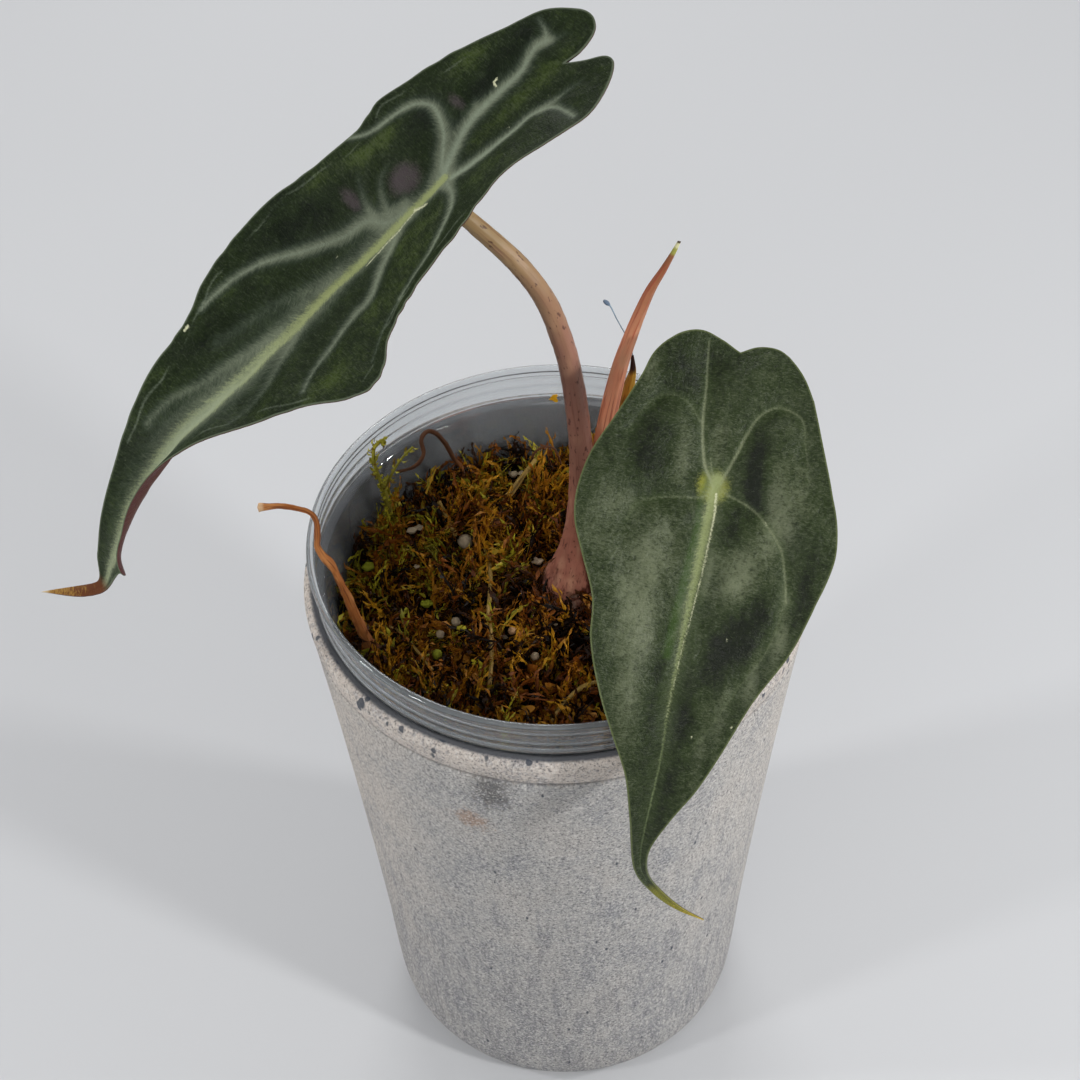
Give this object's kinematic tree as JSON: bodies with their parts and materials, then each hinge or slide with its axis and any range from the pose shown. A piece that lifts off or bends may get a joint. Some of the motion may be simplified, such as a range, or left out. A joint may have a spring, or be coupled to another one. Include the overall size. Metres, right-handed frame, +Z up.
{
  "type": "potted alocasia",
  "caption": "Young alocasia with arrow-shaped dark leaves, growing in moss in a clear ribbed cup that hangs by its rim in a tapered stoneware cover pot.",
  "frame": {"origin": "centre of the underside of the cover pot, on the surface it stands on", "axes": "+Z up; -Y towards the front of the plant, where the second leaf hangs over the rim; +X to the right seen from the front"},
  "size_m": [0.1759, 0.1356, 0.2824],
  "materials": {
    "stoneware": "unglazed speckled light grey stoneware, cement look",
    "clear_plastic": "clear, thin, glossy",
    "moss": "loose dried sphagnum moss, ochre and brown",
    "corm": "brown corm with pale roots",
    "leaf": "dark green satin leaf with silver-green veins, purple-brown beneath",
    "petiole": "smooth, tan above and mauve-pink below with purple dashes",
    "sheath": "salmon-pink papery sheath",
    "dry_sheath": "dry yellow-brown sheath with a black tip",
    "filament": "blue-grey fibre",
    "dry_stalk": "withered orange-brown stalk",
    "root": "thin dark root",
    "green_moss": "living olive-green moss",
    "yellow_moss": "yellow moss",
    "bead": "matt off-white grain"
  },
  "bodies": {
    "root": {"cover_pot": "stoneware", "nursery_cup": "clear_plastic", "moss_fill": "moss", "corm_with_roots": "corm", "left_leaf_blade": "leaf", "right_leaf_blade": "leaf", "left_petiole": "petiole", "right_petiole": "petiole", "pink_sheath": "sheath", "old_sheath": "dry_sheath", "sheath_filament": "filament", "dry_stalk": "dry_stalk", "root_loop": "root", "green_moss_curl": "green_moss", "yellow_moss_flake": "yellow_moss", "bead_1": "bead", "bead_2": "bead", "bead_3": "bead", "bead_4": "bead", "bead_5": "bead", "bead_6": "bead"}
  },
  "joints": []
}
